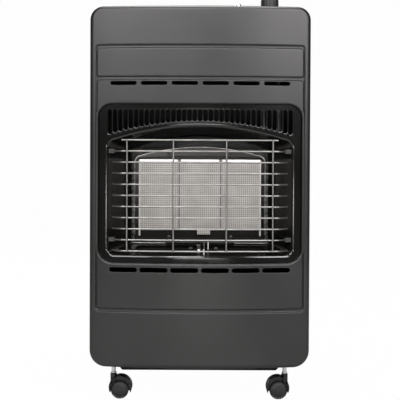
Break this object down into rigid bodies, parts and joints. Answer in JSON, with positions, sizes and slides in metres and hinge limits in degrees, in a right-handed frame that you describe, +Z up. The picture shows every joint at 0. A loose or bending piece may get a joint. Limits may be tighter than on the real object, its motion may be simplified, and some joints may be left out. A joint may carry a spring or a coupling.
{
  "type": "portable gas cabinet heater",
  "caption": "Portable gas cabinet heater: a crowned steel cabinet on castors with ceramic radiant plaques behind a wire guard, a valve knob and a rear cover.",
  "frame": {"origin": "on the floor, under the middle of the cabinet's width and depth", "axes": "+X to the viewer's right as seen from the front, +Y to the back, +Z up"},
  "size_m": [0.41, 0.43, 0.7672],
  "materials": {
    "charcoal_paint": "satin powder coat",
    "black_enamel": "glossy stove enamel",
    "black_steel": "dull black",
    "galvanised_steel": "bare zinc",
    "bright_wire": "bright plated wire",
    "ceramic": "porous ceramic under steel gauze",
    "aluminium": "dull",
    "brass": "turned",
    "chrome": "polished",
    "black_plastic": "moulded nylon",
    "grey_plastic": "moulded, lightly textured"
  },
  "bodies": {
    "cabinet": {"front_panel": "charcoal_paint", "side_panel_left": "charcoal_paint", "side_panel_right": "charcoal_paint", "top_cover": "charcoal_paint", "base_tray": "charcoal_paint", "heat_shield": "galvanised_steel", "burner_surround": "black_enamel", "reflector_box": "black_enamel", "wire_guard": "bright_wire", "guard_clip_top_left": "black_steel", "guard_clip_top_right": "black_steel", "guard_clip_bottom_left": "black_steel", "guard_clip_bottom_right": "black_steel", "burner_plate": "black_steel", "plaque_left": "ceramic", "plaque_centre": "ceramic", "plaque_right": "ceramic", "burner_housing_left": "aluminium", "burner_housing_centre": "aluminium", "burner_housing_right": "aluminium", "injector_left": "brass", "injector_centre": "brass", "injector_right": "brass", "gas_manifold": "black_steel", "pilot_bracket": "galvanised_steel", "pilot_burner": "brass", "thermocouple": "chrome", "spark_electrode": "ceramic", "gas_valve": "brass", "hose_nozzle": "brass", "burner_pipe": "aluminium", "pilot_pipe": "aluminium", "igniter_body": "black_plastic", "igniter_nut": "chrome", "castor_front_left_stem": "chrome", "castor_front_right_stem": "chrome", "castor_rear_left_stem": "chrome", "castor_rear_right_stem": "chrome"},
    "rear_cover": {"rear_cover": "charcoal_paint"},
    "valve_plunger": {"spindle_collar": "black_steel"},
    "knob": {"knob_spindle": "brass", "control_knob": "grey_plastic"},
    "igniter_button": {"igniter_button": "chrome"},
    "castor_front_left": {"castor_front_left_hood": "black_plastic", "castor_front_left_axle": "chrome"},
    "castor_front_left_wheel_a": {"castor_front_left_wheel_a": "black_plastic"},
    "castor_front_left_wheel_b": {"castor_front_left_wheel_b": "black_plastic"},
    "castor_front_right": {"castor_front_right_hood": "black_plastic", "castor_front_right_axle": "chrome"},
    "castor_front_right_wheel_a": {"castor_front_right_wheel_a": "black_plastic"},
    "castor_front_right_wheel_b": {"castor_front_right_wheel_b": "black_plastic"},
    "castor_rear_left": {"castor_rear_left_hood": "black_plastic", "castor_rear_left_axle": "chrome"},
    "castor_rear_left_wheel_a": {"castor_rear_left_wheel_a": "black_plastic"},
    "castor_rear_left_wheel_b": {"castor_rear_left_wheel_b": "black_plastic"},
    "castor_rear_right": {"castor_rear_right_hood": "black_plastic", "castor_rear_right_axle": "chrome"},
    "castor_rear_right_wheel_a": {"castor_rear_right_wheel_a": "black_plastic"},
    "castor_rear_right_wheel_b": {"castor_rear_right_wheel_b": "black_plastic"}
  },
  "joints": [
    {"name": "rear_cover_hinge", "type": "hinge", "parent": "cabinet", "child": "rear_cover", "pos_m": [0, 0.2095, 0.079], "axis": [-1, 0, 0], "range_deg": [0, 75]},
    {"name": "knob_push", "type": "slide", "parent": "cabinet", "child": "valve_plunger", "axis": [0, 0, -1], "range_m": [0, 0.005], "stiffness_N_per_m": 400, "springref_m": -0.002},
    {"name": "knob_turn", "type": "hinge", "parent": "valve_plunger", "child": "knob", "pos_m": [0.132, -0.128, 0.74], "axis": [0, 0, 1], "range_deg": [0, 240]},
    {"name": "igniter_push", "type": "slide", "parent": "cabinet", "child": "igniter_button", "axis": [0, 0, -1], "range_m": [0, 0.005], "stiffness_N_per_m": 400, "springref_m": -0.002},
    {"name": "castor_front_left_swivel", "type": "hinge", "parent": "cabinet", "child": "castor_front_left", "pos_m": [-0.164, -0.133, 0.045], "axis": [0, 0, 1], "continuous": true},
    {"name": "castor_front_left_wheel_a_spin", "type": "hinge", "parent": "castor_front_left", "child": "castor_front_left_wheel_a", "pos_m": [-0.1515, -0.133, 0.017], "axis": [0, 1, 0], "continuous": true},
    {"name": "castor_front_left_wheel_b_spin", "type": "hinge", "parent": "castor_front_left", "child": "castor_front_left_wheel_b", "pos_m": [-0.1515, -0.133, 0.017], "axis": [0, 1, 0], "continuous": true},
    {"name": "castor_front_right_swivel", "type": "hinge", "parent": "cabinet", "child": "castor_front_right", "pos_m": [0.164, -0.133, 0.045], "axis": [0, 0, 1], "continuous": true},
    {"name": "castor_front_right_wheel_a_spin", "type": "hinge", "parent": "castor_front_right", "child": "castor_front_right_wheel_a", "pos_m": [0.1515, -0.133, 0.017], "axis": [0, -1, 0], "continuous": true},
    {"name": "castor_front_right_wheel_b_spin", "type": "hinge", "parent": "castor_front_right", "child": "castor_front_right_wheel_b", "pos_m": [0.1515, -0.133, 0.017], "axis": [0, -1, 0], "continuous": true},
    {"name": "castor_rear_left_swivel", "type": "hinge", "parent": "cabinet", "child": "castor_rear_left", "pos_m": [-0.164, 0.155, 0.045], "axis": [0, 0, 1], "continuous": true},
    {"name": "castor_rear_left_wheel_a_spin", "type": "hinge", "parent": "castor_rear_left", "child": "castor_rear_left_wheel_a", "pos_m": [-0.164, 0.1675, 0.017], "axis": [-1, 0, 0], "continuous": true},
    {"name": "castor_rear_left_wheel_b_spin", "type": "hinge", "parent": "castor_rear_left", "child": "castor_rear_left_wheel_b", "pos_m": [-0.164, 0.1675, 0.017], "axis": [-1, 0, 0], "continuous": true},
    {"name": "castor_rear_right_swivel", "type": "hinge", "parent": "cabinet", "child": "castor_rear_right", "pos_m": [0.164, 0.155, 0.045], "axis": [0, 0, 1], "continuous": true},
    {"name": "castor_rear_right_wheel_a_spin", "type": "hinge", "parent": "castor_rear_right", "child": "castor_rear_right_wheel_a", "pos_m": [0.164, 0.1675, 0.017], "axis": [-1, 0, 0], "continuous": true},
    {"name": "castor_rear_right_wheel_b_spin", "type": "hinge", "parent": "castor_rear_right", "child": "castor_rear_right_wheel_b", "pos_m": [0.164, 0.1675, 0.017], "axis": [-1, 0, 0], "continuous": true}
  ]
}
